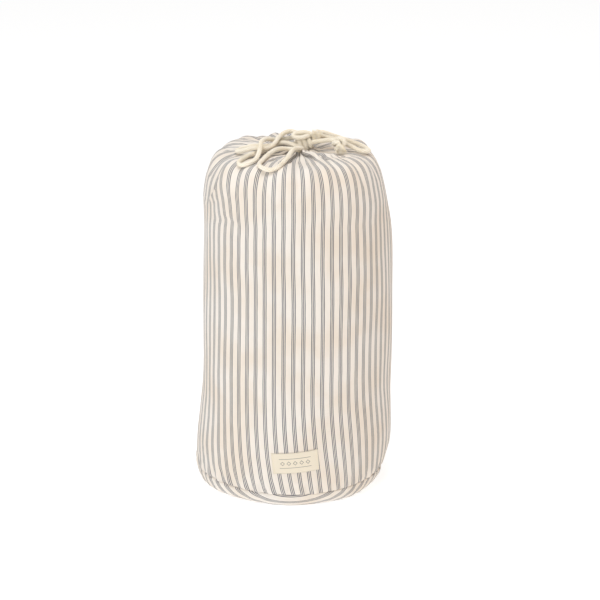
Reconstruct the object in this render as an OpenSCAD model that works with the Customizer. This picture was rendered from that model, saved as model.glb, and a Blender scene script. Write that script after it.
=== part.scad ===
// Drawstring laundry bag: a round-bottomed cloth cylinder gathered to a small mouth,
// with a cotton cord run through the mouth casing and tied in a bow.
// Frame: +Z up, origin at the bottom centre, front towards -Y, +X to the right.

/* [Bag] */
// Radius of the straight part of the bag
body_r = 125; // [123:0.5:127]
// Radius of the belly, where the filled bag bulges above its base
belly_r = 128.5; // [127:0.5:130]
// Height at which the belly is widest
belly_z = 76; // [70:1:82]
// Radius at the shoulder, where the dome of gathers begins
shoulder_r = 121; // [120.5:0.5:121.5]
// Height of the shoulder
shoulder_z = 385; // [384:1:385]
// Height of the dome of gathers above the shoulder
dome_h = 70; // [67:1:70]
// Thickness of the doubled and lined cloth
cloth_t = 1.6; // [1.2:0.1:2]

/* [Base] */
// Radius of the flat on which the bag stands
foot_r = 96; // [90:1:100]
// Radius of the seam between base and body
seam_r = 120; // [118:0.5:121]
// Height of that seam
seam_z = 24; // [22:1:26]

/* [Mouth] */
// Outer radius of the gathered casing that holds the cord
casing_r = 25; // [24.5:0.1:25]
// Radius of the hole left in the middle of the gathers
mouth_r = 13.75; // [13.5:0.05:13.9]
// Top of the casing
casing_top = 455; // [454:0.5:455]
// Height of the casing
casing_h = 9.5; // [9.2:0.1:10]

/* [Cord] */
// Diameter of the cotton cord
cord_d = 6; // [5:0.1:6]
// Sides of each cord tube
cord_sides = 8; // [8:1:10]

/* [Label] */
// Width of the sewn label, measured round the bag
label_w = 58; // [40:1:62]
// Height of the label
label_h = 27; // [20:1:30]
// Height of the middle of the label above the floor
label_z = 69; // [60:1:76]

/* [Hidden] */

cloth_colour = "#ece3d8";
cord_colour = "#efe3c8";
label_colour = "#fbf3e0";
thread_colour = "#dccfb6";

// Gap that keeps neighbouring pieces apart
gap = 0.3;
smooth_fn = 120;

// Shape of the dome: a flat top with a round shoulder, which dips a little towards the mouth
dome_round_r = 12;
dome_round_z = 0.81;
dip_r = 60;
dip_depth = 2;
dip_power = 1.5;
function dome_z(r) = shoulder_z + dome_h * pow(1 - pow(r / shoulder_r, dome_round_r), dome_round_z);
function dip_z(r) = dip_depth * pow(max(0, (dip_r - r) / (dip_r - casing_r)), dip_power);
function top_z(r) = dome_z(r) - dip_z(r);

// Radii at which the dome is drawn, close together where it turns down to the shoulder
dome_steps = [0, 0.4, 1, 2, 3.5, 6, 9, 13, 18, 24, 31, 41, 53, 65, 77, 87, 93];
dome_radii = concat([for (d = dome_steps) shoulder_r - d], [casing_r + gap]);

// Body, from the base seam up to the casing
body_low = [
    [seam_r + 0.4, seam_z + gap], [124.6, 34], [127.3, 48], [belly_r - 0.2, 62], [belly_r, belly_z],
    [128, 92], [127, 112], [body_r + 0.6, 134], [body_r, 156], [body_r, 320], [124.2, 345], [123, 365]
];
body_dome = [for (r = dome_radii) [r, top_z(r)]];
body_outer = concat(body_low, body_dome);

// The same profile moved inwards by the thickness of the cloth
function unit(v) = v / norm(v);
function along(pts, i) = unit(pts[min(i + 1, len(pts) - 1)] - pts[max(i - 1, 0)]);
function inset(pts, t) = [
    for (i = [0 : len(pts) - 1]) let (d = along(pts, i)) pts[i] + t * [-d[1], d[0]]
];
function reversed(pts) = [for (i = [len(pts) - 1 : -1 : 0]) pts[i]];

// Base, from the centre of the foot out to the seam
base_corner = [[foot_r, 0], [103, 1.2], [109, 4.4], [113.6, 9], [117, 15], [seam_r - 0.6, seam_z]];
base_outer = concat([[0, 0]], base_corner);

// Seam allowances inside the bag
base_seam_r = 115.6;
base_seam_z = 27;
base_seam_d = 3.4;
back_seam_w = 9;
back_seam_t = 1.1;
back_seam_y = 122.6;
back_seam_low = 150;
back_seam_top = 322;

// Casing: a folded hem with a channel for the cord, and two holes at the back for its ends
channel_r = (casing_r + mouth_r) / 2;
casing_mid_z = casing_top - casing_h / 2;
hem_t = 1.3;
exit_hole_d = 7.4;
exit_left = [-4, 18.6];
exit_right = [8, 17.6];
casing_stitch_r = casing_r - 2.2;

// Label: a thin strip that follows the bag's own curve
label_gap = 0.3;
label_t = 0.8;
label_turn = label_w / belly_r * 180 / PI;
stitch_w = 1.2;
stitch_inset = 2;
function body_r_at(z) = lookup(z, [for (p = body_low) [p[1], p[0]]]);
label_rows = [for (i = [0 : 6]) label_z - label_h / 2 + label_h * i / 6];

// Knot: a core along X, where the loops' necks pass, with three turns of cord round it
knot_y = 2;
knot_z = 468;
core_r = 5;
core_left = 2;
core_right = 22;
wrap_r = 8.2;
wrap_xs = [5.8, 12, 18.2];

// Routes of the free cord, in order from the knot and back to it
far_route = [
    [-1, 6, 477], [-11, 7, 479], [-20, 4, 476], [-26, -5, 472], [-30, -17, 469], [-36, -29, 467],
    [-46, -38, 467], [-57, -39, 468], [-68, -34, 464], [-77, -26, 460], [-78, -15, 459],
    [-71, -8, 460], [-60, -5, 462], [-49, -4, 462], [-39, 1, 461], [-29, 9, 461],
    [-18, 12, 461], [-9, 10, 461], [-1, 6, 462]
];
middle_route = [
    [-1, -8, 463], [-10, -5, 465], [-20, -2, 466], [-30, -6, 464], [-38, -15, 462],
    [-45, -26, 461], [-51, -35, 461], [-60, -43, 461], [-68, -52, 459], [-75, -62, 456],
    [-73, -71, 454], [-64, -72, 456], [-55, -65, 459], [-50, -55, 465], [-48, -45, 472],
    [-47, -35, 475], [-44, -23, 475], [-38, -10, 473], [-29, 1, 469], [-19, 7, 468],
    [-10, 10, 469], [-1, 10, 470]
];
front_route = [
    [1, -19, 460], [-9, -17, 461], [-19, -22, 463], [-29, -33, 464], [-38, -48, 462],
    [-45, -65, 459], [-49, -80, 457], [-44, -90, 455], [-35, -95, 454], [-26, -91, 456],
    [-19, -79, 459], [-13, -64, 462], [-9, -49, 465], [-4, -35, 466], [5, -20, 463]
];
right_route = [
    [26, 14, 476], [36, 15, 475], [47, 15, 471], [58, 16, 467], [69, 16, 463], [80, 12, 460],
    [88, 3, 458], [92, -8, 457], [87, -16, 458], [79, -14, 459], [68, -10, 463], [57, -5, 466],
    [46, -2, 468], [36, 2, 470], [26, 4, 470]
];
tail_route = [[25, -9, 468], [33, -14, 470], [41, -19, 471], [48, -23, 470]];
lead_left_route = [[-4, 19, 457], [-4, 19, 459], [-2, 17, 462], [0, 15, 464]];
lead_right_route = [[8, 18, 457], [8, 18, 459], [9, 16, 461]];

// Stopper knot and frayed ends
end_knot_at = [56, -28, 468];
end_knot_r = 7.6;
end_fray_tilt = [112, 0, 16];
fray_l = 12;
fray_neck_r = 3.4;
fray_tip_r = 5.2;
short_fray_at = [25.4, 3, 475.5];
short_fray_tilt = [0, 8, 0];
short_fray_l = 9;

// A tube swept along a route: one ring of points across the path at each route point
function path_dir(pts, i) = unit(pts[min(i + 1, len(pts) - 1)] - pts[max(i - 1, 0)]);
function ring_at(pts, i, up, r, n) =
    let (t = path_dir(pts, i), side = unit(cross(t, up)), lift = cross(side, t))
    [for (k = [0 : n - 1]) pts[i] + r * (cos(360 * k / n) * side + sin(360 * k / n) * lift)];
module tube(pts, up = [0, 0, 1]) {
    n = cord_sides;
    rings = len(pts);
    points = [for (i = [0 : rings - 1]) for (p = ring_at(pts, i, up, cord_d / 2, n)) p];
    sides = [
        for (i = [0 : rings - 2]) for (k = [0 : n - 1])
            let (a = i * n + k, b = i * n + (k + 1) % n)
            each [[a, b, b + n], [a, b + n, a + n]]
    ];
    start_cap = [[for (k = [n - 1 : -1 : 0]) k]];
    end_cap = [[for (k = [0 : n - 1]) (rings - 1) * n + k]];
    polyhedron(points = points, faces = concat(sides, start_cap, end_cap), convexity = 10);
}

module torus(ring_r, wire_r) {
    rotate_extrude($fn = smooth_fn) translate([ring_r, 0]) circle(r = wire_r, $fn = 32);
}

module body_panel() {
    color(cloth_colour)
        rotate_extrude($fn = smooth_fn)
            polygon(concat(body_outer, reversed(inset(body_outer, cloth_t))));
}

module base_panel() {
    color(cloth_colour)
        rotate_extrude($fn = smooth_fn)
            polygon(concat(base_outer, reversed(inset(base_corner, cloth_t)), [[0, cloth_t]]));
}

module base_seam() {
    color(thread_colour)
        translate([0, 0, base_seam_z])
            torus(base_seam_r, base_seam_d / 2);
}

module back_seam() {
    color(cloth_colour)
        translate([-back_seam_w / 2, back_seam_y - back_seam_t, back_seam_low])
            cube([back_seam_w, back_seam_t, back_seam_top - back_seam_low]);
}

module casing_section() {
    difference() {
        translate([mouth_r, casing_top - casing_h])
            square([casing_r - mouth_r, casing_h]);
        translate([mouth_r + hem_t, casing_top - casing_h + hem_t])
            square([casing_r - mouth_r - 2 * hem_t, casing_h - 2 * hem_t]);
    }
}

module mouth_casing() {
    color(cloth_colour)
        difference() {
            rotate_extrude($fn = smooth_fn) casing_section();
            for (p = [exit_left, exit_right])
                translate([p[0], p[1], casing_mid_z])
                    cylinder(h = casing_h, d = exit_hole_d, $fn = 48);
        }
}

module casing_stitching() {
    color(thread_colour)
        translate([0, 0, casing_top + 0.5])
            torus(casing_stitch_r, 0.4);
}

module casing_cord() {
    color(cord_colour)
        translate([0, 0, casing_mid_z])
            torus(channel_r, cord_d / 2);
}

module label_band(turn, lift, thick, rows) {
    inner = [for (z = rows) [body_r_at(z) + lift, z]];
    outer = [for (z = rows) [body_r_at(z) + lift + thick, z]];
    rotate([0, 0, -90 - turn / 2])
        rotate_extrude(angle = turn, $fn = 360)
            polygon(concat(outer, reversed(inner)));
}

module front_label() {
    color(label_colour)
        label_band(label_turn, label_gap, label_t, label_rows);
}

module label_stitching() {
    row_turn = stitch_w / belly_r * 180 / PI;
    edge_turn = label_turn / 2 - stitch_inset / belly_r * 180 / PI;
    color(thread_colour)
        for (side = [-1, 1])
            rotate([0, 0, side * edge_turn])
                label_band(row_turn, label_gap + label_t, 0.4, label_rows);
}

module cord_lead_left() {
    color(cord_colour) tube(lead_left_route, up = [1, 0, 0]);
}

module cord_lead_right() {
    color(cord_colour) tube(lead_right_route, up = [1, 0, 0]);
}

module knot_core() {
    color(cord_colour)
        translate([core_left, knot_y, knot_z])
            rotate([0, 90, 0])
                cylinder(h = core_right - core_left, r = core_r, $fn = 48);
}

module knot_wrap(i) {
    color(cord_colour)
        translate([wrap_xs[i], knot_y, knot_z])
            rotate([0, 90, 0])
                torus(wrap_r, cord_d / 2);
}

module knot_wrap_left() { knot_wrap(0); }
module knot_wrap_middle() { knot_wrap(1); }
module knot_wrap_right() { knot_wrap(2); }

module fray(length) {
    cylinder(h = length, r1 = fray_neck_r, r2 = fray_tip_r, $fn = 32);
}

module short_fray() {
    color(cord_colour)
        translate(short_fray_at) rotate(short_fray_tilt) fray(short_fray_l);
}

module loop_far() {
    color(cord_colour) tube(far_route);
}

module loop_middle() {
    color(cord_colour) tube(middle_route);
}

module loop_front() {
    color(cord_colour) tube(front_route);
}

module loop_right() {
    color(cord_colour) tube(right_route);
}

module cord_tail() {
    color(cord_colour) tube(tail_route);
}

module end_knot() {
    color(cord_colour) translate(end_knot_at) sphere(r = end_knot_r, $fn = 48);
}

module end_fray() {
    color(cord_colour)
        translate(end_knot_at)
            rotate(end_fray_tilt)
                translate([0, 0, end_knot_r]) fray(fray_l);
}

body_panel();
base_panel();
base_seam();
back_seam();
mouth_casing();
casing_stitching();
casing_cord();
front_label();
label_stitching();
cord_lead_left();
cord_lead_right();
knot_core();
knot_wrap_left();
knot_wrap_middle();
knot_wrap_right();
short_fray();
loop_far();
loop_middle();
loop_front();
loop_right();
cord_tail();
end_knot();
end_fray();
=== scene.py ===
"""A filled drawstring laundry bag in striped cotton ticking, its cord tied in a bow on top."""

import math

import bpy
import numpy as np
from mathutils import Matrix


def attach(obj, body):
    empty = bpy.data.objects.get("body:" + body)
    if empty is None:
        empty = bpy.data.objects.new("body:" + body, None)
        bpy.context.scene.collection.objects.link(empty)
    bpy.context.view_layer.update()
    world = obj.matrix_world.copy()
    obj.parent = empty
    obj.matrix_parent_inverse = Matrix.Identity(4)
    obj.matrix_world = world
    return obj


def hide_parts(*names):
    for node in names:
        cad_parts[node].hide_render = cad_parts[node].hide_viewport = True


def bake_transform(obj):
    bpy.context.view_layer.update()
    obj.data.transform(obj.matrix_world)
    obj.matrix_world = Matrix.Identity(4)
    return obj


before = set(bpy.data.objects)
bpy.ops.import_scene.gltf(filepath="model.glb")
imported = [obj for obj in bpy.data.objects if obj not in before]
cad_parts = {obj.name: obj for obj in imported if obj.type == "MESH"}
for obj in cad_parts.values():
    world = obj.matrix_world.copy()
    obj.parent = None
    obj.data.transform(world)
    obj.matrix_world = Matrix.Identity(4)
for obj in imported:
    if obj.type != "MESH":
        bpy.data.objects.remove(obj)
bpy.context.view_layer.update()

MM = 0.001
TURN = 2 * math.pi
FRONT = -math.pi / 2
BACK = math.pi / 2

# ---- sizes, in millimetres

BODY_R = 125.0
SHOULDER_R = 121.0
SHOULDER_Z = 385.0
DOME_H = 70.0
CASING_R = 25.0
CORD_D = 6.0
CORD_ROUND = math.pi * CORD_D

STRIPE_REPEATS = 62
STRIPE_PITCH = TURN * BODY_R / STRIPE_REPEATS
STRIPE_GAP = 2.0
STRIPE_LINE = 0.96

# The filled bag isn't quite upright: how far its middle is to the right, at heights from the foot up
SWAY = [
    (0, -8), (22, -8), (44, -7), (66, -5.6), (110, -2.8), (166, -0.8),
    (234, 0), (300, 0.4), (368, -2), (402, -4.6), (460, -5.4),
]
# The stripes lean to the right going down: by how much round the bag, from one height to another
TWIST = 0.178
TWIST_FROM, TWIST_TO = 180.0, 22.0

LABEL_W, LABEL_H, LABEL_T = 60.0, 28.0, 0.7
LABEL_X, LABEL_Z = -3.5, 70.5
LABEL_TILT = math.radians(5.5)
LABEL_BOW = 0.6
LABEL_FOLD = 0.5

# ---- routes of the cord, in millimetres

FAR_ROUTE = [
    [-1, 6, 477], [-11, 7, 479], [-20, 4, 476], [-26, -5, 472], [-30, -17, 469], [-36, -29, 467],
    [-46, -38, 467], [-57, -39, 468], [-68, -34, 464], [-77, -26, 460], [-78, -15, 459],
    [-71, -8, 460], [-60, -5, 462], [-49, -4, 462], [-39, 1, 461], [-29, 9, 461],
    [-18, 12, 461], [-9, 10, 461], [-1, 6, 462],
]
MIDDLE_ROUTE = [
    [-1, -8, 463], [-10, -5, 465], [-20, -2, 466], [-30, -6, 464], [-38, -15, 462],
    [-45, -26, 461], [-51, -35, 461], [-60, -43, 461], [-68, -52, 459], [-75, -62, 456],
    [-73, -71, 454], [-64, -72, 456], [-55, -65, 459], [-50, -55, 465], [-48, -45, 472],
    [-47, -35, 475], [-44, -23, 475], [-38, -10, 473], [-29, 1, 469], [-19, 7, 468],
    [-10, 10, 469], [-1, 10, 470],
]
FRONT_ROUTE = [
    [1, -19, 460], [-9, -17, 461], [-19, -22, 463], [-29, -33, 464], [-38, -48, 462],
    [-45, -65, 459], [-49, -80, 457], [-44, -90, 455], [-35, -95, 454], [-26, -91, 456],
    [-19, -79, 459], [-13, -64, 462], [-9, -49, 465], [-4, -35, 466], [5, -20, 463],
]
RIGHT_ROUTE = [
    [26, 14, 476], [36, 15, 475], [47, 15, 471], [58, 16, 467], [69, 16, 463], [80, 12, 460],
    [88, 3, 458], [92, -8, 457], [87, -16, 458], [79, -14, 459], [68, -8, 463], [57, -2, 467],
    [46, 2, 470], [36, 5, 472.2], [26, 6, 472.5],
]
TAIL_ROUTE = [
    [14, -2, 467], [20, -6, 467.5], [25, -8, 469], [33, -12, 471], [39, -14.5, 472.5],
    [44, -15.5, 472.5],
]
LEAD_LEFT_ROUTE = [[-4, 19, 457], [-4, 19, 459], [-2, 17, 462], [0, 15, 464]]
LEAD_RIGHT_ROUTE = [[8, 18, 457], [8, 18, 459], [9, 16, 461]]
HITCH_ROUTE = [
    [13, 2, 468], [13.5, -3, 474.5], [10, -8, 475.5], [4, -9.7, 474.5], [-2, -8.7, 474.3],
    [-5.8, -5, 475.5], [-4, -1, 477.5], [1, 0.5, 478.7], [8, 1, 479], [14, 1, 478], [19, 1, 475.5],
    [21.5, 1, 471.5], [18, 2, 466],
]

# The wraps of the knot: their middle, how many, the share of a turn where they start, their radius
# and how much less it is at the two ends, where the first is, the step to the next, and their slant
KNOT_Y, KNOT_Z = 2.0, 465.0
WRAPS = 2.55
WRAP_START = 0.62
WRAP_R = 8.2
WRAP_TUCK = 3.8
WRAP_LEFT = 0.6
WRAP_STEP = 6.35
WRAP_SLANT = 1.4

# The stopper knot on the tail: its middle, the way its brush points, its trefoil's radius and how
# far that swings, and the angle left open at its two ends
END_KNOT = (53.5, -20.0, 469.5)
BRUSH_WAY = (0.1, -0.88, -0.46)
TREFOIL_R = 4.6
TREFOIL_SWING = 2.9
TREFOIL_OPEN = 0.45

# The frayed ends: length, radius at the neck and the tip, thickness over width, and random seed
YARNS = 120
GOLDEN_ANGLE = 2.399963
SHORT_FRAY = {"length": 17, "neck": 3.2, "tip": 8.0, "flat": 0.8, "seed": 41}
END_FRAY = {"length": 14, "neck": 4.6, "tip": 9.5, "flat": 0.6, "seed": 42}

# ---- small helpers


def ease(x, low, high):
    """0 below low, 1 above high, and smooth between; low may be the larger of the two."""
    t = np.clip((np.asarray(x, float) - low) / (high - low), 0, 1)
    return t * t * (3 - 2 * t)


def bell(x, width):
    return np.exp(-((x / width) ** 2))


def angle_from(theta, middle):
    """The angle from middle to theta, between half a turn either way."""
    return (theta - middle + math.pi) % TURN - math.pi


def angles_round(count):
    return np.arange(count) / count * TURN


def unit(v):
    return v / np.maximum(np.linalg.norm(v, axis=-1, keepdims=True), 1e-12)


def smooth_path(points, step):
    """A Catmull-Rom curve through the points, resampled a step apart, in the points' own units."""
    p = np.array(points, float)
    q = np.vstack([2 * p[0] - p[1], p, 2 * p[-1] - p[-2]])
    t = np.linspace(0, 1, 24, endpoint=False)[:, None]
    out = []
    for a, b, c, d in zip(q, q[1:], q[2:], q[3:]):
        cubic = (-a + 3 * b - 3 * c + d) * t**3
        out.append(0.5 * (2 * b + (c - a) * t + (2 * a - 5 * b + 4 * c - d) * t * t + cubic))
    line = np.vstack(out + [p[-1:]])
    for _ in range(3):
        line = resample(line, step)
        line[1:-1] = 0.25 * line[:-2] + 0.5 * line[1:-1] + 0.25 * line[2:]
    return resample(line, step)


def lengths_along(line):
    """The length of the line from its start to each of its points."""
    return np.concatenate([[0], np.cumsum(np.linalg.norm(np.diff(line, axis=0), axis=1))])


def resample(line, step):
    along = lengths_along(line)
    at = np.linspace(0, along[-1], max(2, int(round(along[-1] / step)) + 1))
    return np.stack([np.interp(at, along, line[:, k]) for k in range(3)], axis=1)


def length_of(line):
    return float(np.linalg.norm(np.diff(line, axis=0), axis=1).sum())


def frames_along(line):
    """Two directions across the line at each of its points, carried along without twisting."""
    tangent = unit(np.gradient(line, axis=0))
    start = np.array([0, 0, 1.0]) if abs(tangent[0][2]) < 0.8 else np.array([1.0, 0, 0])
    side = unit(np.cross(tangent[0], start))
    sides = [side]
    for t in tangent[1:]:
        side = unit(side - t * np.dot(side, t))
        sides.append(side)
    sides = np.array(sides)
    return sides, np.cross(tangent, sides)


def add_to_scene(piece):
    bpy.context.scene.collection.objects.link(piece)
    return piece


def mesh_object(name, points, faces, material=None, uvs=None):
    """A mesh from points in millimetres. uvs holds one pair for each corner of each face."""
    mesh = bpy.data.meshes.new(name)
    points = np.asarray(points, float).reshape(-1, 3) * MM
    mesh.from_pydata(points.tolist(), [], [tuple(f) for f in faces])
    if uvs is not None:
        layer = mesh.uv_layers.new(name="cloth")
        layer.data.foreach_set("uv", np.asarray(uvs, np.float32).ravel())
    mesh.polygons.foreach_set("use_smooth", [True] * len(mesh.polygons))
    mesh.update()
    if material is not None:
        mesh.materials.append(material)
    return add_to_scene(bpy.data.objects.new(name, mesh))


def grid_cells(rows, columns, closed):
    """Each cell's row and column in a grid of points, and the column after it."""
    wide = columns if closed else columns - 1
    r, c = np.meshgrid(np.arange(rows - 1), np.arange(wide), indexing="ij")
    return r, c, (c + 1) % columns


def grid_faces(rows, columns, closed):
    """Faces of a grid of points, row by row, joined round if closed."""
    r, c, nxt = grid_cells(rows, columns, closed)
    low, high = r * columns, (r + 1) * columns
    return np.stack([low + c, low + nxt, high + nxt, high + c], -1).reshape(-1, 4)


def grid_uvs(u, v, rows, columns, closed, u_turn):
    """Corner UVs for grid_faces. u_turn is what u grows by in one turn round."""
    r, c, nxt = grid_cells(rows, columns, closed)
    add = np.where(c + 1 >= columns, u_turn, 0.0)
    corners = [(r, c, 0), (r, nxt, add), (r + 1, nxt, add), (r + 1, c, 0)]
    return np.stack([np.stack([u[i, j] + k, v[i, j]], -1) for i, j, k in corners], -2).reshape(-1, 2)


# ---- the bag's surface


def waves(phi, s, seed, round_low, round_high, up_mm, count=9):
    """Smooth noise about -1 to 1 that closes on itself round the bag."""
    rng = np.random.default_rng(seed)
    total = np.zeros(np.broadcast(phi, s).shape)
    for _ in range(count):
        turns = rng.integers(round_low, round_high + 1)
        climb = TURN / up_mm * rng.uniform(-1, 1)
        total += rng.uniform(0.5, 1) * np.sin(turns * phi + climb * s + rng.uniform(0, TURN))
    return total / math.sqrt(count / 2)


def wander(phi, seed, round_low, round_high):
    """The same noise where it changes only round the bag."""
    return waves(phi, 0 * phi, seed, round_low, round_high, 100)


def dome_z(r):
    """Height of the dome of gathers at radius r, with its dip towards the mouth."""
    crown = SHOULDER_Z + DOME_H * (1 - (r / SHOULDER_R) ** 12) ** 0.81
    return crown - 2 * (max(0.0, 60 - r) / (60 - CASING_R)) ** 1.5


def smooth_profile(points):
    """A smooth line through points of radius and height, with a point each half millimetre."""
    return smooth_path([(r, 0, z) for r, z in points], 0.5)[:, [0, 2]]


def bag_profile():
    """Radius and height from inside the base seam up over the dome and down into the mouth."""
    turned_in = [(115.5, 27.5), (117.6, 25.2), (119.4, 24.5), (121.2, 25.6), (122.9, 28.8)]
    wall = [
        (124.6, 34), (127.3, 48), (128.3, 62), (128.5, 76), (128, 92), (127, 112), (125.6, 134),
        (125, 156), (125, 200), (125, 240), (125, 280), (125, 320), (124.2, 345), (123, 365),
    ]
    steps = [0, 0.4, 1, 2, 3.5, 6, 9, 13, 18, 24, 31, 41, 53, 65, 77, 87, 93]
    dome = [(SHOULDER_R - d, dome_z(SHOULDER_R - d)) for d in steps]
    rim = [(25, 453.6), (22, 454.8), (18, 455.6), (15, 454.4), (13.2, 451), (13, 446), (14, 440)]
    return smooth_profile(turned_in + wall + dome + rim)


PROFILE = bag_profile()
SWAY_PATH = smooth_path([(x, 0, z) for z, x in SWAY], 2)
PROFILE_S = lengths_along(PROFILE)
PROFILE_N = unit(np.gradient(PROFILE, axis=0)) @ np.array([[0, -1.0], [1.0, 0]])
S_SHOULDER = float(PROFILE_S[np.argmin(np.abs(PROFILE[:, 1] - SHOULDER_Z))])
S_DOME = S_SHOULDER - 20
S_TOP = float(PROFILE_S[-1])


def s_at_height(z):
    """Distance up the cloth to height z, on the wall of the bag."""
    below = PROFILE_S < S_SHOULDER
    return np.interp(z, PROFILE[below, 1], PROFILE_S[below])


def s_at_radius(r):
    """Distance up the cloth to radius r, on the dome."""
    above = PROFILE_S >= S_SHOULDER
    return np.interp(-np.asarray(r, float), -PROFILE[above, 0], PROFILE_S[above])


def sway(z, r):
    """How far the bag leans to the right at height z. Its mouth stays over the middle of the knot."""
    return np.interp(z, SWAY_PATH[:, 2], SWAY_PATH[:, 0]) * ease(r, 15, 75)


def fold(x, sharp=0.12):
    """A row of folds from 0 at the creases to 1 on the round ridges."""
    return (np.sqrt(np.cos(x / 2) ** 2 + sharp**2) - sharp) / (math.sqrt(1 + sharp**2) - sharp)


# How many fine gathers there are round the mouth, and broad ones round the shoulder
FINE_FOLDS = 39
BROAD_FOLDS = 21


def gathers(phi, r):
    """Height of the gathers above the dome, and how far they lean round it, in mm and radians."""
    fine = FINE_FOLDS * phi + 0.9 * wander(phi, 11, 3, 11)
    broad = BROAD_FOLDS * phi + 0.9 * wander(phi, 12, 2, 8)
    at_front = 0.5 - 0.5 * np.sin(phi)
    fine_on = ease(r, 94 - 12 * at_front, 50)
    broad_on = ease(r, 121, 98) * (1 - 0.55 * ease(r, 70, 35)) * (1 - 0.45 * at_front)
    vary = 1 + 0.35 * wander(phi, 13, 5, 19)
    height = 5.0 * fine_on * vary * (fold(fine) - 0.62)
    height += 4.2 * broad_on * (fold(broad) - 0.62) * (1 + 0.3 * wander(phi, 14, 2, 7))
    lean = fine_on * (0.75 * np.sin(fine) / FINE_FOLDS + 0.35 * fold(fine) / FINE_FOLDS)
    return height, lean


# Single creases: where each starts and ends (angle, distance up the cloth), its depth and its width
CREASES = [
    (FRONT - 1.20, 392, FRONT - 1.32, 340, 1.8, 8.0),
    (FRONT + 0.95, 405, FRONT + 1.10, 360, 1.8, 8.0),
    (FRONT - 1.25, 120, FRONT - 1.05, 40, 1.6, 9.0),
    (FRONT + 1.20, 130, FRONT + 1.00, 45, 2.0, 10.0),
    (FRONT + 0.30, 44, FRONT + 0.55, 30, 1.0, 6.0),
]


def crease_depth(phi, s):
    """How deep the single creases are at a place on the cloth, with a small ridge beside each."""
    across = (angle_from(phi, FRONT) + FRONT) * BODY_R
    total = np.zeros(np.broadcast(phi, s).shape)
    for phi_a, s_a, phi_b, s_b, depth, width in CREASES:
        ax, bx = phi_a * BODY_R, phi_b * BODY_R
        px, py = across - ax, s - s_a
        dx, dy = bx - ax, s_b - s_a
        t = (px * dx + py * dy) / (dx * dx + dy * dy)
        side = (px * dy - py * dx) / math.hypot(dx, dy)
        inside = ease(t, -0.15, 0.25) * ease(t, 1.15, 0.75)
        groove = bell(side, width) - 0.55 * bell(side - 1.5 * width, width)
        total += depth * inside * groove
    return total


# Where the filling pushes the dome up: the place in plan, the radius and the height
LUMPS = [(87, 50, 24, 8.0), (-71, 62, 20, 6.0), (-15, 95, 22, 2.5)]

# Rolls of loose cloth on the dome: two ends in plan, the height, and the width in front and behind
ROLLS = [
    ((6, -14), (24, -44), 6.0, 2.5, 9.0),
    ((22, -38), (60, -42), 4.5, 3.0, 10.0),
    ((-5, -25), (-21, -60), 3.2, 4.0, 8.0),
    ((44, -38), (76, -30), 3.0, 3.0, 9.0),
    ((20, 32), (58, 62), 4.0, 4.0, 10.0),
    ((-22, 34), (-60, 58), 4.5, 4.0, 10.0),
    ((-6, 40), (2, 84), 3.5, 4.0, 9.0),
]


def bumps(x, y):
    """How far the lumps and rolls move the dome's cloth: across, forwards and up."""
    across, forwards, up = np.zeros(x.shape), np.zeros(x.shape), np.zeros(x.shape)
    for x_at, y_at, radius, height in LUMPS:
        up += height * np.exp(-((x - x_at) ** 2 + (y - y_at) ** 2) / radius**2)
    for (ax, ay), (bx, by), height, front, behind in ROLLS:
        long = math.hypot(bx - ax, by - ay)
        ux, uy = (bx - ax) / long, (by - ay) / long
        way = 1 if ux > 0 else -1
        t = ((x - ax) * ux + (y - ay) * uy) / long
        off = (-(x - ax) * uy + (y - ay) * ux) * way
        share = bell(off, np.where(off < 0, front, behind))
        share = share * ease(t, -0.1, 0.25) * ease(t, 1.2, 0.7)
        up += height * share
        across += 0.9 * height * share * uy * way
        forwards -= 0.9 * height * share * abs(ux)
    return across, forwards, up


# The cloth at the left shoulder folds under itself: how far past the shoulder, and the angle there
TUCK = [(9, -1.18), (17, -1.15), (26, -1.07), (35, -0.98), (44, -0.93), (60, -0.92), (112, -0.92)]
# How far the tuck draws the cloth behind it and in front of it, and its width, edge and hollow
TUCK_UNDER = 34.0
TUCK_OVER = 9.0
TUCK_WIDE = 9.0
TUCK_LIP = 4.0
TUCK_DIP = 6.5


def tuck(phi, s):
    """How far the tuck draws the cloth round the bag, as an angle, and how far it lifts its edge."""
    past = s - S_SHOULDER
    line = FRONT + np.interp(past, [p for p, _ in TUCK], [a for _, a in TUCK])
    a = angle_from(phi, line) * BODY_R
    on = ease(past, 0, 66) * ease(past, 135, 105)
    deep = ease(past, 2, 50) * ease(past, 130, 95)
    under = TUCK_UNDER * ease(a, 0, -TUCK_WIDE) * ease(a, -120, -TUCK_WIDE)
    over = TUCK_OVER * ease(a, -TUCK_WIDE, 0) * ease(a, 70, 5)
    lip = TUCK_LIP * ease(a, -TUCK_WIDE, 0) * ease(a, 36, 3)
    dip = TUCK_DIP * bell(a + 14, 10)
    return on * (under - over) / BODY_R, deep * (lip - dip)


# On the dome the front's stripes stay nearly straight: how far past the shoulder, and by how much
SPREAD = [(-45, 0), (-5, 0.02), (15, 0.06), (35, 0.09), (80, 0.15), (118, 0.24), (134, 0.22), (160, 0)]


def stripe_shift(phi, s, z):
    """How far round the bag its stripes are from where they would lie on an upright one."""
    turned = np.clip((TWIST_FROM - z) / (TWIST_FROM - TWIST_TO), 0, 1)
    upright = -sway(z, BODY_R) / BODY_R * ease(z, 280, 390)
    spread = np.interp(s - S_SHOULDER, [p for p, _ in SPREAD], [a for _, a in SPREAD])
    return TWIST * turned**2 + 1.15 * upright + spread * np.sin(phi - FRONT)


# The bulge at the left of the foot: how far, at what angle, and over what share of a turn
SLUMP = 9.5
SLUMP_AT = math.pi + 0.32
SLUMP_WIDE = 0.6


def slump(theta, z):
    """How far the foot bulges out at its left, where the filled bag leans over it."""
    share = bell(angle_from(theta, SLUMP_AT), SLUMP_WIDE)
    return SLUMP * share * (0.65 * ease(z, 45, 18) + 0.35 * ease(z, 110, 40)) * ease(z, 0, 11)


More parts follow.
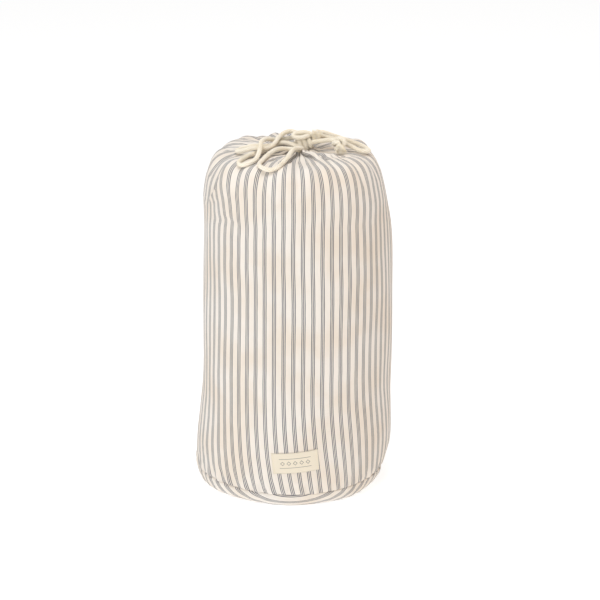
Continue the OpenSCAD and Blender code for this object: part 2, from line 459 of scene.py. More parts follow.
def seam_rise(theta, z):
    """The base seam sags at the front and rides up at the left: how far, at height z near it."""
    rise = 3.0 * bell(angle_from(theta, SLUMP_AT), SLUMP_WIDE)
    rise = rise - 4.0 * bell(angle_from(theta, FRONT), 1)
    return rise * ease(z, 78, 26) * ease(z, 3, 20)


def bag_points(phi, s):
    """Points of the bag's cloth, in mm, at material angle phi and distance s up the cloth."""
    phi, s = np.broadcast_arrays(np.asarray(phi, float), np.asarray(s, float))
    r, z, nr, nz = (np.interp(s, PROFILE_S, values) for values in (*PROFILE.T, *PROFILE_N.T))
    on_dome = ease(s, S_DOME, S_SHOULDER + 40)
    on_wall = ease(z, 26, 60) * (1 - 0.7 * on_dome)
    height, lean = gathers(phi, r)
    height = height * on_dome
    lean = lean * on_dome
    height += on_wall * (1.3 * waves(phi, s, 21, 1, 5, 160) + 0.45 * waves(phi, s, 22, 6, 15, 90))
    height -= crease_depth(phi, s)
    pucker = ease(z, 80, 26) * ease(z, 24, 27)
    height += 0.7 * pucker * waves(phi, s, 23, 34, 58, 60)
    height -= seam_groove(phi, s)
    into_mouth = ease(s, S_TOP - 22, S_TOP - 8)
    height = height * (1 - 0.6 * into_mouth)
    drawn, lip = tuck(phi, s)
    height += lip
    r, z = r + height * nr, z + height * nz
    theta = phi + lean + drawn + stripe_shift(phi, s, z)
    r = r + slump(theta, z)
    z = z + seam_rise(theta, z)
    x, y = r * np.cos(theta), r * np.sin(theta)
    across, forwards, up = bumps(x, y)
    loose = ease(s, S_SHOULDER + 20, S_SHOULDER + 70) * (1 - into_mouth)
    x = x + loose * across + sway(z, r)
    return np.stack([x, y + loose * forwards, z + loose * up], -1) + settled_shift(phi, s)


# The simulation: its scale, its steps, the most that a point may move in mm, and Cloth's own settings
SIM_SCALE = 10.0
SIM_STEPS = 12
SIM_CAP = 4.0
SIM_CLOTH = {
    "quality": 6, "mass": 0.3, "tension_stiffness": 15, "compression_stiffness": 15,
    "shear_stiffness": 5, "bending_stiffness": 0.5, "vertex_group_mass": "held",
    "vertex_group_shrink": "slack", "shrink_min": -0.04, "use_pressure": True,
    "uniform_pressure_force": 2.0,
}

# What the simulation found, once it has run: its rows and how far each point moved
settled = {}


def settled_shift(phi, s):
    """How far the simulation moved the cloth at a place on it, in mm."""
    if not settled:
        return 0.0
    moved, rows = settled["moved"], settled["rows"]
    across = (phi - BACK) / TURN % 1 * moved.shape[1]
    up = np.interp(s, rows, np.arange(len(rows)))
    i = np.floor(across).astype(int) % moved.shape[1]
    j = np.clip(np.floor(up).astype(int), 0, len(rows) - 2)
    a, b = (across - np.floor(across))[..., None], (up - j)[..., None]
    k = (i + 1) % moved.shape[1]
    low = (1 - a) * moved[j, i] + a * moved[j, k]
    high = (1 - a) * moved[j + 1, i] + a * moved[j + 1, k]
    return (1 - b) * low + b * high


def rows_up_cloth(on_wall, on_dome):
    """Distances up the cloth for a grid's rows, closer together on the dome."""
    wall = np.linspace(0, S_DOME, on_wall, endpoint=False)
    return np.concatenate([wall, np.linspace(S_DOME, S_TOP, on_dome)])


def add_cloth(piece, weights):
    """Blender's Cloth on the piece, held at its two ends and pressed out from inside."""
    for name, values in weights.items():
        group = piece.vertex_groups.new(name=name)
        for index, weight in enumerate(values):
            group.add([index], float(weight), "REPLACE")
    modifier = piece.modifiers.new("cloth", "CLOTH")
    modifier.collision_settings.use_collision = False
    for key, value in SIM_CLOTH.items():
        setattr(modifier.settings, key, value)
    modifier.settings.effector_weights.gravity = 0


def only_wrinkles(start, moved):
    """What moved says apart from each row's own mean radius and height, capped."""
    out = unit(start * [1, 1, 0])
    outward = (moved * out).sum(-1, keepdims=True)
    moved = moved - out * outward.mean(axis=1, keepdims=True)
    moved[..., 2] -= moved[..., 2].mean(axis=1, keepdims=True)
    far = np.linalg.norm(moved, axis=-1, keepdims=True)
    return moved * np.minimum(1, SIM_CAP / np.maximum(far, 1e-9))


def settle():
    """Lets the filled cloth find its own small wrinkles, by a simulation on a coarse grid."""
    rows = rows_up_cloth(110, 70)
    columns = STRIPE_REPEATS * 6
    phi, s = np.meshgrid(BACK + angles_round(columns), rows)
    start = bag_points(phi, s)
    faces = grid_faces(len(rows), columns, True)
    piece = mesh_object("settling", start * SIM_SCALE, faces)
    held = np.maximum(ease(s, 9, 4), ease(s, S_TOP - 30, S_TOP - 24))
    slack = ease(s, 9, 30) * ease(s, S_TOP - 30, S_TOP - 60)
    add_cloth(piece, {"held": held.ravel(), "slack": slack.ravel()})
    for step in range(1, SIM_STEPS + 1):
        bpy.context.scene.frame_set(step)
    result = piece.evaluated_get(bpy.context.evaluated_depsgraph_get())
    end = np.zeros(start.size)
    result.data.vertices.foreach_get("co", end)
    end = end.reshape(start.shape) / (SIM_SCALE * MM)
    bpy.data.objects.remove(piece)
    bpy.context.scene.frame_set(1)
    return {"rows": rows, "moved": only_wrinkles(start, end - start)}


def seam_groove(phi, s):
    """The back seam: a thin groove where the panel's edges meet, beside a flat felled band."""
    across = angle_from(phi, BACK) * BODY_R
    band = ease(across, -1, 1) * ease(across, 10, 8)
    line = bell(across, 0.9)
    return (0.9 * line - 0.5 * band) * ease(s, S_SHOULDER + 60, S_SHOULDER)


def cloth_at(phi, s, lift=0.0):
    """Points on the cloth and the way it faces there, both in mm, with the points lifted off it."""
    phi, s = np.broadcast_arrays(np.asarray(phi, float), np.asarray(s, float))
    small = 0.4
    around = bag_points(phi + small / BODY_R, s) - bag_points(phi - small / BODY_R, s)
    up = bag_points(phi, s + small) - bag_points(phi, s - small)
    normal = unit(np.cross(around, up))
    lift = np.asarray(lift, float)[..., None]
    return bag_points(phi, s) + lift * normal, normal


def front_cloth_at(x, z, lift):
    """Points over the front of the bag at x and z."""
    phi = FRONT + np.asarray(x, float) / BODY_R
    s = s_at_height(np.asarray(z, float))
    for _ in range(12):
        point = bag_points(phi, s)
        phi = phi + (x - point[..., 0]) / BODY_R
        s = s + (z - point[..., 2])
    return cloth_at(phi, s, lift)


# ---- materials


def set_inputs(node, values):
    """Sets a node's inputs, by name, to values that are the same all over a surface."""
    for name, value in values.items():
        node.inputs[name].default_value = value


class Shader:
    """A material's node tree, with short ways to add what the materials here use."""

    def __init__(self, name, roughness, sheen):
        self.material = bpy.data.materials.new(name)
        self.material.use_nodes = True
        self.tree = self.material.node_tree
        self.surface = self.tree.nodes["Principled BSDF"]
        set_inputs(self.surface, {"Roughness": roughness, "Sheen Weight": sheen})
        set_inputs(self.surface, {"Sheen Roughness": 0.6, "Specular IOR Level": 0.25})

    def add(self, kind, **settings):
        node = self.tree.nodes.new(kind)
        for key, value in settings.items():
            setattr(node, key, value)
        return node

    def put(self, socket, value):
        if isinstance(value, bpy.types.NodeSocket):
            self.tree.links.new(value, socket)
        elif value is not None:
            socket.default_value = value

    def math(self, operation, a, b=None, c=None):
        node = self.add("ShaderNodeMath", operation=operation)
        for socket, value in zip(node.inputs, (a, b, c)):
            self.put(socket, value)
        return node.outputs[0]

    def times(self, a, b):
        return self.math("MULTIPLY", a, b)

    def absolute(self, a):
        return self.math("ABSOLUTE", a)

    def uv(self):
        """The cloth's own coordinates, in millimetres."""
        node = self.add("ShaderNodeUVMap", uv_map="cloth")
        split = self.add("ShaderNodeSeparateXYZ")
        self.put(split.inputs[0], node.outputs[0])
        return [self.times(split.outputs[k], 1000.0) for k in range(2)]

    def vector(self, x, y):
        node = self.add("ShaderNodeCombineXYZ")
        self.put(node.inputs[0], x)
        self.put(node.inputs[1], y)
        return node.outputs[0]

    def noise(self, at, scale, detail=2.0):
        """Smooth noise from 0 to 1. at is a vector, or nothing for the object's own space."""
        node = self.add("ShaderNodeTexNoise")
        if at is None:
            at = self.add("ShaderNodeTexCoord").outputs["Object"]
        self.put(node.inputs["Vector"], at)
        set_inputs(node, {"Scale": scale, "Detail": detail})
        return node.outputs["Fac"]

    def ramp(self, value, low, high, out_low=0.0, out_high=1.0):
        node = self.add("ShaderNodeMapRange", interpolation_type="SMOOTHSTEP")
        for socket, v in zip(node.inputs, (value, low, high, out_low, out_high)):
            self.put(socket, v)
        return node.outputs[0]

    def mix(self, amount, a, b, blend="MIX"):
        node = self.add("ShaderNodeMix", data_type="RGBA", blend_type=blend)
        self.put(node.inputs[0], amount)
        for k, value in ((6, a), (7, b)):
            self.put(node.inputs[k], value if isinstance(value, bpy.types.NodeSocket) else (*value, 1))
        return node.outputs[2]

    def bump(self, height, distance_mm, normal=None):
        node = self.add("ShaderNodeBump")
        set_inputs(node, {"Strength": 1.0, "Distance": distance_mm * MM})
        self.put(node.inputs["Height"], height)
        self.put(node.inputs["Normal"], normal)
        return node.outputs[0]

    def finish(self, colour, normal):
        self.put(self.surface.inputs["Base Color"], colour)
        self.put(self.surface.inputs["Normal"], normal)
        return self.material


def colour(hex_code):
    """Linear light from an sRGB hex code."""
    parts = [int(hex_code[k : k + 2], 16) / 255 for k in (1, 3, 5)]
    return tuple(c / 12.92 if c <= 0.04045 else ((c + 0.055) / 1.055) ** 2.4 for c in parts)


CLOTH_LIGHT = colour("#efe8df")
CLOTH_WARM = colour("#eadecf")
STRIPE_DARK = colour("#323949")
STRIPE_LIGHT = colour("#505768")
CORD_LIGHT = colour("#fff9ec")
# CORD_SHADE: painted shade in the braid's gaps, and the colour of random darker patches on the cord and
# the sewing thread
CORD_SHADE = colour("#ebdcbd")
FRAY_LIGHT = colour("#fff9ec")
FRAY_SHADE = colour("#f1e5ca")
TAPE_LIGHT = colour("#ebe2d0")
TAPE_SHADE = colour("#e2d7c2")
TAPE_MARK = colour("#6d6a66")
THREAD_LIGHT = colour("#f4e8d2")

# The pitches of the cloth's threads and of the label's, in mm
THREAD_PITCH = 0.46
TAPE_THREAD_PITCH = 0.3

# The braid: how many lumps round the cord, how far apart, the step along the cord, and their depth
BRAID_ROUND = 6
BRAID_PITCH = CORD_ROUND / BRAID_ROUND
BRAID_RISE = 3.9
BRAID_DEPTH = 0.55


def weave(shader, u, v, pitch):
    """Height of a plain weave: each thread goes over one and under the next."""
    along_u = shader.times(u, math.pi / pitch)
    along_v = shader.times(v, math.pi / pitch)
    product = shader.times(shader.math("SINE", along_u), shader.math("SINE", along_v))
    warp = shader.absolute(shader.math("SINE", along_u))
    weft = shader.absolute(shader.math("SINE", along_v))
    over = shader.ramp(product, -0.25, 0.25)
    difference = shader.math("SUBTRACT", warp, weft)
    return shader.math("MULTIPLY_ADD", over, difference, weft)


def ticking_material():
    """Cotton ticking: a cream plain weave with groups of three fine blue-grey lines."""
    shader = Shader("striped_cotton", 0.88, 0.25)
    u, v = shader.uv()
    drift = shader.noise(shader.vector(shader.times(u, 0.02), v), 0.05)
    straying = shader.math("MULTIPLY_ADD", drift, 0.7, -0.35)
    across = shader.math("ADD", u, straying)
    place = shader.math("FRACT", shader.times(across, 1 / STRIPE_PITCH))
    away = shader.absolute(shader.times(shader.math("SUBTRACT", place, 0.5), STRIPE_PITCH))
    second = shader.absolute(shader.math("SUBTRACT", away, STRIPE_GAP))
    nearest = shader.math("MINIMUM", away, second)
    half = STRIPE_LINE / 2
    line = shader.ramp(nearest, half - 0.12, half + 0.14, 1.0, 0.0)
    threads = shader.noise(shader.vector(u, shader.times(v, 0.03)), 2.2, 1.0)
    wefts = shader.noise(shader.vector(shader.times(u, 0.04), v), 1.6, 1.0)
    cloudy = shader.noise(None, 18.0, 3.0)
    yarn = shader.mix(shader.ramp(threads, 0.3, 0.7), STRIPE_DARK, STRIPE_LIGHT)
    ground = shader.mix(shader.ramp(cloudy, 0.35, 0.7), CLOTH_LIGHT, CLOTH_WARM)
    slub = shader.ramp(wefts, 0.62, 0.8, 1.0, 0.93)
    fine = shader.ramp(threads, 0.25, 0.75, 0.965, 1.0)
    shade = shader.times(slub, fine)
    tinted = shader.mix(line, ground, yarn)
    grey = shader.add("ShaderNodeCombineColor")
    for socket in grey.inputs:
        shader.put(socket, shade)
    final = shader.mix(1.0, tinted, grey.outputs[0], "MULTIPLY")
    relief = shader.bump(weave(shader, u, v, THREAD_PITCH), 0.07)
    slubby = shader.bump(shader.math("ADD", threads, wefts), 0.12, relief)
    return shader.finish(final, slubby)


def cord_material():
    """Soft braided cotton cord, with shade painted into the gaps between its yarns."""
    shader = Shader("cotton_cord", 0.92, 0.35)
    u, v = shader.uv()
    braid = braid_height(shader, u, v)
    fibre = shader.noise(shader.vector(u, v), 3.5, 3.0)
    patch = shader.noise(None, 60.0, 2.0)
    # Painted shade: the gaps between the braid's lumps are tinted towards CORD_SHADE as if shaded,
    # while the patches add random tone
    gap = shader.ramp(braid, 0.0, 0.5, 0.85, 0.0)
    amount = shader.math("MULTIPLY_ADD", shader.ramp(patch, 0.4, 0.7), 0.35, gap)
    tint = shader.mix(amount, CORD_LIGHT, CORD_SHADE)
    relief = shader.bump(braid, 0.4)
    return shader.finish(tint, shader.bump(fibre, 0.3, relief))


def braid_height(shader, u, v):
    """The same braid as braid_relief, for the bump and for the shade painted into its gaps."""
    a = shader.times(u, math.pi / BRAID_PITCH)
    b = shader.times(v, math.pi / BRAID_RISE)
    left = shader.absolute(shader.math("SINE", shader.math("ADD", a, b)))
    right = shader.absolute(shader.math("SINE", shader.math("SUBTRACT", a, b)))
    return shader.times(left, right)


def braid_relief(u, v):
    """Height of the braid's lumps, 0 to 1, at u round the cord and v along it, in mm."""
    a, b = u * math.pi / BRAID_PITCH, v * math.pi / BRAID_RISE
    return np.abs(np.sin(a + b) * np.sin(a - b))


def yarn_material():
    """The loose yarns at the cord's ends."""
    shader = Shader("frayed_cotton", 0.95, 0.4)
    fuzz = shader.noise(None, 900.0, 2.0)
    patch = shader.noise(None, 260.0, 2.0)
    tint = shader.mix(shader.ramp(patch, 0.35, 0.65), FRAY_LIGHT, FRAY_SHADE)
    return shader.finish(tint, shader.bump(fuzz, 0.25))


def thread_material():
    """Plain twisted sewing thread."""
    shader = Shader("sewing_thread", 0.6, 0.2)
    twist = shader.noise(None, 1500.0, 1.0)
    patch = shader.noise(None, 120.0, 1.0)
    tint = shader.mix(patch, THREAD_LIGHT, CORD_SHADE)
    return shader.finish(tint, shader.bump(twist, 0.08))


# The label's diamonds, in mm: how many, how far apart, their half height, and the lines' distance
MARKS = 5
MARK_PITCH = 8.2
MARK_SIZE = 2.5
MARK_LINE = 6.2


def tape_material():
    """Woven label tape with a row of small open diamonds between two fine lines."""
    shader = Shader("label_tape", 0.8, 0.2)
    u, v = shader.uv()
    turns = shader.math("FRACT", shader.math("MULTIPLY_ADD", u, 1 / MARK_PITCH, 0.5))
    place = shader.math("SUBTRACT", turns, 0.5)
    across = shader.absolute(shader.times(place, MARK_PITCH))
    up = shader.absolute(v)
    diamond = shader.math("SUBTRACT", shader.math("ADD", across, up), MARK_SIZE)
    outline = shader.ramp(shader.absolute(diamond), 0.28, 0.5, 1.0, 0.0)
    half_row = MARKS * MARK_PITCH / 2
    in_row = shader.ramp(shader.absolute(u), half_row - 0.1, half_row, 1.0, 0.0)
    off_line = shader.absolute(shader.math("SUBTRACT", up, MARK_LINE))
    line = shader.ramp(off_line, 0.18, 0.34, 1.0, 0.0)
    mark = shader.times(shader.math("MAXIMUM", outline, line), in_row)
    threads = shader.noise(shader.vector(u, shader.times(v, 6.0)), 1.2, 2.0)
    ground = shader.mix(threads, TAPE_LIGHT, TAPE_SHADE)
    relief = shader.bump(weave(shader, u, v, TAPE_THREAD_PITCH), 0.05)
    return shader.finish(shader.mix(mark, ground, TAPE_MARK), relief)


# ---- sewn pieces


def tube_rings(line, radii, sides):
    """Rings of points along a line: radii is one number, one for each ring or one for each point."""
    side, lift = frames_along(line)
    turn = np.linspace(0, TURN, sides, endpoint=False)
    radii = np.asarray(radii, float)
    if radii.ndim == 1:
        radii = radii[:, None]
    out = np.cos(turn)[None, :, None] * side[:, None] + np.sin(turn)[None, :, None] * lift[:, None]
    return line[:, None] + radii[..., None] * out


def join_tubes(tubes, sides):
    """Points and faces of many capped tubes, as one mesh."""
    points, faces, start = [], [], 0
    for rings in tubes:
        count = len(rings)
        points.append(rings.reshape(-1, 3))
        faces += (grid_faces(count, sides, True) + start).tolist()
        faces.append(list(range(start + sides - 1, start - 1, -1)))
        last = start + (count - 1) * sides
        faces.append(list(range(last, last + sides)))
        start += count * sides
    return np.vstack(points), faces


def stitches(name, ends, normals, radius, rise, material):
    """A row of stitches. ends holds each one's two ends on the cloth, and it dips into it there."""
    along = np.linspace(0, 1, 7)
    arch = np.sin(along * math.pi) ** 0.6
    tubes = []
    for (a, b), normal in zip(ends, normals):
        line = a + (b - a) * along[:, None] + normal * (arch[:, None] * rise - radius * 1.2)
        tubes.append(tube_rings(line, radius, 6))
    return mesh_object(name, *join_tubes(tubes, 6), material)


def bag_cloth(material):
    """The side of the bag and its gathered top, in one cloth from the base seam into the mouth."""
    s = rows_up_cloth(130, 150)
    columns = STRIPE_REPEATS * 12
    grid_phi, grid_s = np.meshgrid(BACK + angles_round(columns), s)
    points = bag_points(grid_phi, grid_s)
    u = (grid_phi - BACK) * BODY_R * MM
    uvs = grid_uvs(u, grid_s * MM, len(s), columns, True, TURN * BODY_R * MM)
    faces = grid_faces(len(s), columns, True)
    piece = mesh_object("bag_cloth", points, faces, material, uvs)
    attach(piece, "bag")
    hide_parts("body_panel", "mouth_casing", "back_seam")


# How far the base's stripes are from its middle, in mm, and the radius of its flat part
BASE_STRIPE_SHIFT = 3.0
BASE_FLAT_R = 96


def base_profile():
    """Radius and height from the middle of the foot out to the seam and over into it."""
    flat = [(0, 0.2), (40, 0.2), (80, 0.2), (BASE_FLAT_R, 0.1), (101, 0.2)]
    corner = [(106, 0.9), (112, 3.6), (116.6, 8.6), (119.2, 14.5), (120.6, 20)]
    over = [(121, 22.8), (120.4, 24.6), (118.4, 25.2), (116, 26.5)]
    return smooth_profile(flat + corner + over)


def base_cloth(material):
    """The round base: its stripes run across it, and its edge is rolled into the seam."""
    profile = base_profile()
    arc = lengths_along(profile)
    flat = np.linspace(1, BASE_FLAT_R, 60, endpoint=False)
    rings = np.concatenate([flat, np.linspace(BASE_FLAT_R, arc[-1], 70)])
    columns = 480
    grid_phi, grid_s = np.meshgrid(angles_round(columns), rings)
    r, z = (np.interp(grid_s, arc, values) for values in profile.T)
    rise = ease(grid_s, 98, 112) * ease(grid_s, arc[-1], arc[-1] - 8)
    swell = 0.8 * waves(grid_phi, grid_s, 31, 2, 9, 60) + 0.35 * waves(grid_phi, grid_s, 32, 24, 44, 40)
    r = r + rise * swell + slump(grid_phi, z)
    x = r * np.cos(grid_phi) + sway(z, BODY_R)
    z = z + seam_rise(grid_phi, z)
    points = np.stack([x, r * np.sin(grid_phi), z], -1)
    faces = grid_faces(len(rings), columns, True).tolist()
    faces.append(list(range(columns - 1, -1, -1)))
    # The stripes run along X, and the first group lies just under the seam at the front
    u = (grid_s * np.sin(grid_phi) + BASE_STRIPE_SHIFT) * MM
    v = grid_s * np.cos(grid_phi) * MM
    uvs = grid_uvs(u, v, len(rings), columns, True, 0.0)
    hub = np.stack([u[0], v[0]], -1)[::-1]
    piece = mesh_object("base_cloth", points, faces, material, np.vstack([uvs, hub]))
    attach(piece, "bag")
    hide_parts("base_panel")


def seam_allowance(material):
    """The two raw edges of the base seam, overlocked together inside the bag."""
    turn = np.linspace(0, TURN, 240, endpoint=False)
    section = [
        (115.2, 25.6), (113.0, 30.5), (114.2, 33.5), (115.8, 33.2), (115.6, 30.4), (117.0, 26.4),
    ]
    ripple = 0.7 * np.sin(31 * turn) + 0.5 * np.sin(43 * turn + 1)
    rows = []
    for r, z in section:
        around = r + ripple * (z - 25) / 8 + slump(turn, z)
        x = around * np.cos(turn) + sway(z, BODY_R)
        rows.append(np.stack([x, around * np.sin(turn), z + seam_rise(turn, z)], -1))
    points = np.stack(rows + rows[:1])
    u, v = np.meshgrid(turn * BODY_R * MM, np.arange(len(section) + 1) * 3 * MM)
    uvs = grid_uvs(u, v, len(points), len(turn), True, TURN * BODY_R * MM)
    faces = grid_faces(len(points), len(turn), True)
    piece = mesh_object("seam_allowance", points, faces, material, uvs)
    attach(piece, "bag")
    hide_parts("base_seam")


def over_label(a, b, lift):
    """Points over the label at a across it and b up it, lifted off the bag, and the way they face."""
    cos, sin = math.cos(LABEL_TILT), math.sin(LABEL_TILT)
    bow = LABEL_BOW * (1 - (2 * a / LABEL_W) ** 2)
    x = LABEL_X + a * cos - b * sin
    z = LABEL_Z + a * sin + b * cos - bow
    return front_cloth_at(x, z, lift)


def label_tag(tape):
    """The label itself: a thin slab, thicker where its ends fold under and held down there."""
    wide, tall = 57, 21
    across, up = np.linspace(-0.5, 0.5, wide) * LABEL_W, np.linspace(-0.5, 0.5, tall) * LABEL_H
    a, b = np.meshgrid(across, up)
    end, side = LABEL_W / 2, LABEL_H / 2
    folded = LABEL_FOLD * ease(np.abs(a), end - 5.4, end - 4.8)
    held = ease(np.abs(a), end - 7, end - 2)
    edge = ease(np.abs(b), side - 1.2, side)
    gap = 0.15 + 0.7 * (1 - held) * (1 - 0.5 * edge)
    back, _ = over_label(a, b, gap)
    front, _ = over_label(a, b, gap + LABEL_T + folded - 0.25 * edge)
    count = wide * tall
    top = grid_faces(tall, wide, False)
    rim = [*range(wide), *range(2 * wide - 1, count, wide)]
    rim += [*range(count - 2, count - wide - 1, -1), *range(count - 2 * wide, 0, -wide)]
    sides = [[rim[k], rim[k - 1], rim[k - 1] + count, rim[k] + count] for k in range(len(rim))]
    faces = [f[::-1].tolist() for f in top] + (top + count).tolist() + sides
    flat = np.stack([a, b], -1).reshape(-1, 2) * MM
    corners = np.concatenate([flat[np.array(f) % count] for f in faces])
    return mesh_object("label", np.stack([back, front]), faces, tape, corners)


def label_sewing(thread):
    """A row of stitches up each end of the label."""
    rows = np.arange(-LABEL_H / 2 + 0.8, LABEL_H / 2 - 2.4, 2.9)
    lift = 0.2 + LABEL_T + LABEL_FOLD
    ends, normals = [], []
    for inset in (LABEL_W / 2 - 2.2, 2.2 - LABEL_W / 2):
        low, normal = over_label(inset, rows, lift)
        high, _ = over_label(inset, rows + 2.1, lift)
        ends += list(zip(low, high))
        normals += list(normal)
    return stitches("label_stitches", ends, normals, 0.28, 0.5, thread)


def label(tape, thread):
    """The label sewn low on the front by its folded ends, and the stitches that hold it."""
    tag, sewing = label_tag(tape), label_sewing(thread)
    for piece, slot in ((tag, "label_tape"), (sewing, "sewing_thread")):
        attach(piece, "bag")
    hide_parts("front_label")
    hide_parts("label_stitching")


def sew_on_bag(name, from_place, to_place, radius, rise, thread):
    """A row of stitches on the bag, each from one place on its cloth to another."""
    a, normal = cloth_at(*from_place, 0.1)
    b, _ = cloth_at(*to_place, 0.1)
    piece = stitches(name, list(zip(a, b)), list(normal), radius, rise, thread)
    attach(piece, "bag")
    return piece


def sewing_on_bag(thread):
    """The stitches of the hem round the mouth, and those of the seam up the back."""
    count = 150
    phi = angles_round(count)
    s = s_at_radius(30.0)
    hem = sew_on_bag("hem_stitches", (phi, s), (phi + 0.62 * TURN / count, s), 0.22, 0.45, thread)
    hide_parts("casing_stitching")
    at = BACK + 8.2 / BODY_R
    low = np.arange(s_at_height(32), S_SHOULDER + 40, 3.4)
    sew_on_bag("back_seam_stitches", (at, low), (at, low + 2.5), 0.2, 0.4, thread)


# ---- cord pieces


def braided(name, route, material, taper=(1, 1)):
    """A braided cord along a route, as a capped tube, with its ends slimmer by taper, and its path."""
    line = smooth_path(route, 0.6)
    sides = 32
    along = np.arange(len(line)) * length_of(line) / (len(line) - 1)
    u, v = np.meshgrid(np.linspace(0, CORD_ROUND, sides, endpoint=False), along)
    radius = CORD_D / 2 - 0.22 + BRAID_DEPTH * (braid_relief(u, v) - 0.3)
    start, end = taper
    squeezed = (1 - start) * ease(along, 9, 2) + (1 - end) * ease(along[-1] - along, 9, 2)
    rings = tube_rings(line, radius * (1 - squeezed)[:, None], sides)
    points, faces = join_tubes([rings], sides)
    body = grid_uvs(u * MM, v * MM, len(line), sides, True, CORD_ROUND * MM)
    caps = np.zeros((2 * sides, 2))
    piece = mesh_object(name, points, faces, material, np.vstack([body, caps]))
    return piece, line * MM


def tuft(name, origin, direction, material, length, neck, tip, flat, seed):
    """A frayed end: many soft yarns that spread from the neck. flat is its thickness over its width."""
    rng = np.random.default_rng(seed)
    axis = unit(np.array(direction, float))
    side = unit(np.cross(axis, [0.3, 0.2, 1.0]))
    lift = np.cross(axis, side)
    t = np.linspace(0, 1, 9)[:, None]
    tubes = []
    for k in range(YARNS):
        turn = k * GOLDEN_ANGLE
        spot = math.sqrt((k + 0.5) / YARNS)
        out = math.cos(turn) * side + flat * math.sin(turn) * lift
        across = math.cos(turn + 1.6) * side + math.sin(turn + 1.6) * lift
        reach = length * rng.uniform(0.6, 1.08) * (1.05 - 0.2 * spot)
        spread = neck + (tip - neck) * t ** rng.uniform(0.8, 1.6)
        curl = rng.uniform(0.4, 1.5) * np.sin(t * rng.uniform(3, 8) + rng.uniform(0, TURN)) * t
        line = origin + axis * reach * (t - 0.12) + out * spot * spread + across * curl
        line = line + out * 0.5 * curl
        width = rng.uniform(0.36, 0.56) * (1 - 0.4 * t[:, 0] ** 2)
        tubes.append(tube_rings(line, width, 6))
    piece = mesh_object(name, *join_tubes(tubes, 6), material)
    return piece


# How slim the cord is at its two ends, where the knot squeezes it
LOOP_TAPER = (0.85, 0.85)


def strand(name, route, material, taper):
    """A free run of the cord from one body to another, as a tube along its route."""
    piece, path = braided(name, route, material, taper)
    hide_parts(name)
    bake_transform(piece)


def loops(material):
    """The four loops of the bow. Each comes out of the knot and goes back into it."""
    front_in, front_out = [[9, 2, 451], [4, -9, 456.5]], [[8, -9, 456.5], [10, 2, 451]]
    left = [
        ("loop_far", [[9, 3, 470]] + FAR_ROUTE + [[8, 3, 465]]),
        ("loop_middle", [[9, 1, 466]] + MIDDLE_ROUTE + [[9, 3, 468]]),
        ("loop_front", front_in + FRONT_ROUTE + front_out),
    ]
    for name, route in left:
        strand(name, route, material, LOOP_TAPER)
    route = [[14, 4, 470]] + RIGHT_ROUTE + [[14, 2, 467]]
    strand("loop_right", route, material, LOOP_TAPER)


def leads(material):
    """The cord's two ends where they come up out of the casing and go into the knot."""
    inside_left = [[-15, 12.5, 446.3], [-9.5, 17, 446.6], [-5.3, 18.8, 448.8]]
    inside_right = [[18, 7.5, 446.3], [15, 12.8, 446.6], [10, 17.2, 448.8]]
    sets = [
        ("cord_lead_left", inside_left + LEAD_LEFT_ROUTE + [[4, 10, 467], [9, 4, 468]]),
        ("cord_lead_right", inside_right + LEAD_RIGHT_ROUTE + [[11, 10, 465], [13, 4, 467]]),
    ]
    for name, route in sets:
        strand(name, route, material, (1.0, 0.8))


def cord_in_casing(material):
    """The cord's run round the mouth inside the casing, from one exit hole to the other."""
    turn = np.radians(np.linspace(140, 383, 40))
    radius, height = 19.4, 446.3
    route = np.stack([radius * np.cos(turn), radius * np.sin(turn), height + 0 * turn], -1)
    piece, _ = braided("cord_in_casing", route, material)
    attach(piece, "bag")
    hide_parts("casing_cord")


def knot(material, frayed):
    """The bow's knot: the cord goes round the loops' necks and back over itself."""
    t = np.linspace(0, 1, 34)
    angle = TURN * (WRAPS * t + WRAP_START)
    radius = WRAP_R - WRAP_TUCK * ease(t, 0.05, 0) - WRAP_TUCK * ease(t, 0.95, 1)
    x = WRAP_LEFT + WRAP_STEP * WRAPS * t + WRAP_SLANT * np.sin(angle)
    wraps = np.stack([x, KNOT_Y - radius * np.cos(angle), KNOT_Z - radius * np.sin(angle)], -1)
    piece, path = braided("knot_wraps", wraps, material, taper=(0.8, 0.8))
    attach(piece, "bow")
    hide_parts("knot_core", "knot_wrap_left", "knot_wrap_middle", "knot_wrap_right")
    hitch, hitch_path = braided("knot_hitch", HITCH_ROUTE, material, taper=LOOP_TAPER)
    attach(hitch, "bow")
    end = tuft("short_fray", np.array([23, -3.5, 469]), (0.2, -0.06, 1), frayed, **SHORT_FRAY)
    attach(end, "bow")
    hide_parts("short_fray")


def tail(material, frayed):
    """The cord's long end: a stopper knot with a frayed brush."""
    centre = np.array(END_KNOT)
    brush = unit(np.array(BRUSH_WAY))
    right = unit(np.cross(brush, [0, 0, 1.0]))
    up = np.cross(right, brush)
    t = np.linspace(TREFOIL_OPEN, TURN - TREFOIL_OPEN, 34) + math.pi / 3
    wide = TREFOIL_R + TREFOIL_SWING * np.cos(3 * t)
    deep = TREFOIL_SWING * np.sin(3 * t)
    local = np.stack([wide * np.cos(2 * t), wide * np.sin(2 * t), deep], -1)
    turned = local[:, :1] * right + local[:, 1:2] * up + local[:, 2:] * brush
    route = TAIL_ROUTE + list(centre + turned) + [list(centre + brush * 7.5)]
    piece, path = braided("cord_tail", route, material, taper=(0.85, 0.9))
    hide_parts("cord_tail", "end_knot")
    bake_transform(piece)
    end = tuft("end_fray", centre + brush * 6.5, brush, frayed, **END_FRAY)
    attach(end, "tail")
    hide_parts("end_fray")


# ---- the scene


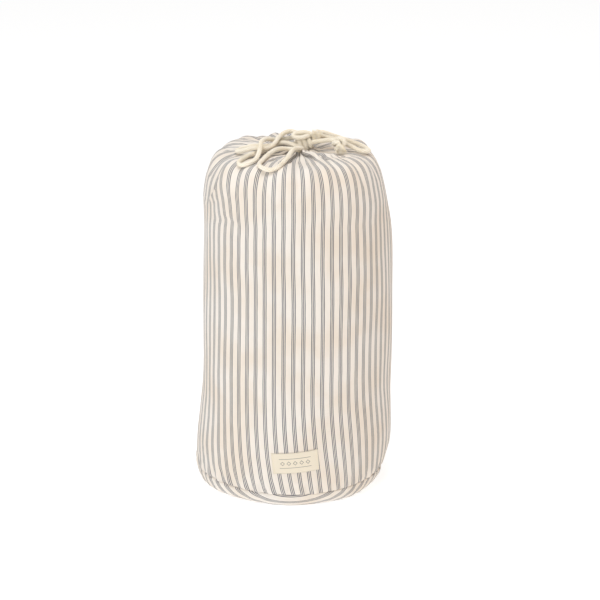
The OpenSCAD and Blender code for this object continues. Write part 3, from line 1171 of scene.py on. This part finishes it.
def camera():
    """Straight in front of the bag and a little above it, with a long lens."""
    lift = math.radians(18)
    away = 3.2
    aim = np.array([0, 0, 0.230])
    over = np.array([0.0027, 0, 0])
    up = np.array([0, math.sin(lift), math.cos(lift)]) * 0.0194
    place = aim + away * np.array([0, -math.cos(lift), math.sin(lift)]) + over + up
    data = bpy.data.cameras.new("camera")
    data.lens = 144.4
    data.clip_end = 60
    eye = bpy.data.objects.new("camera", data)
    eye.location = place
    eye.rotation_euler = (math.pi / 2 - lift, 0, 0)
    bpy.context.scene.camera = add_to_scene(eye)


# The lamps: place and aim in metres, power in watts and tint
# Then the lamps' size in metres, the sky's strength, and the floor's own shade and glow
WHITE = (1.0, 0.99, 0.98)
LAMPS = {
    "key": ((-1.4, -3.0, 2.1), (0, 0, 0.25), 45, WHITE),
    "right": ((3.0, -0.4, 1.3), (0, 0, 0.25), 12, (1.0, 0.62, 0.30)),
    "above": ((-0.2, -0.4, 3.2), (0, 0, 0.45), 43, WHITE),
}
LAMP_SIZE = 1.6
SKY = 0.42
FLOOR_SHADE = 0.6
FLOOR_GLOW = 0.66


def area_light(name, place, aim, watts, tint):
    """A square lamp at place, turned to face aim."""
    data = bpy.data.lights.new(name, "AREA")
    data.size = LAMP_SIZE
    data.energy = watts
    data.color = tint
    lamp = bpy.data.objects.new(name, data)
    lamp.location = place
    direction = np.array(aim, float) - np.array(place, float)
    yaw = math.atan2(direction[0], -direction[1])
    pitch = math.atan2(-direction[2], math.hypot(direction[0], direction[1]))
    lamp.rotation_euler = (math.pi / 2 - pitch, 0, yaw + math.pi)
    add_to_scene(lamp)


def studio():
    """A white floor under soft light, brighter from the left. It glows a little, to stay white."""
    bpy.ops.mesh.primitive_plane_add(size=60, location=(0, 0, 0))
    floor = bpy.context.active_object
    floor.name = "floor"
    paper = bpy.data.materials.new("paper")
    paper.use_nodes = True
    surface = paper.node_tree.nodes["Principled BSDF"]
    set_inputs(surface, {"Base Color": (FLOOR_SHADE,) * 3 + (1,), "Emission Color": (1, 1, 1, 1)})
    set_inputs(surface, {"Emission Strength": FLOOR_GLOW, "Roughness": 1.0, "Specular IOR Level": 0.0})
    floor.data.materials.append(paper)
    world = bpy.data.worlds.new("sky")
    world.use_nodes = True
    set_inputs(world.node_tree.nodes["Background"], {"Color": (1, 1, 1, 1), "Strength": SKY})
    bpy.context.scene.world = world
    for name, lamp in LAMPS.items():
        area_light(name, *lamp)
    bpy.context.scene.view_settings.view_transform = "Standard"


def main():
    camera()
    cord, frayed = cord_material(), yarn_material()
    ticking, thread = ticking_material(), thread_material()
    loops(cord)
    leads(cord)
    cord_in_casing(cord)
    knot(cord, frayed)
    tail(cord, frayed)
    settled.update(settle())
    base_cloth(ticking)
    bag_cloth(ticking)
    seam_allowance(ticking)
    label(tape_material(), thread)
    sewing_on_bag(thread)
    studio()


main()
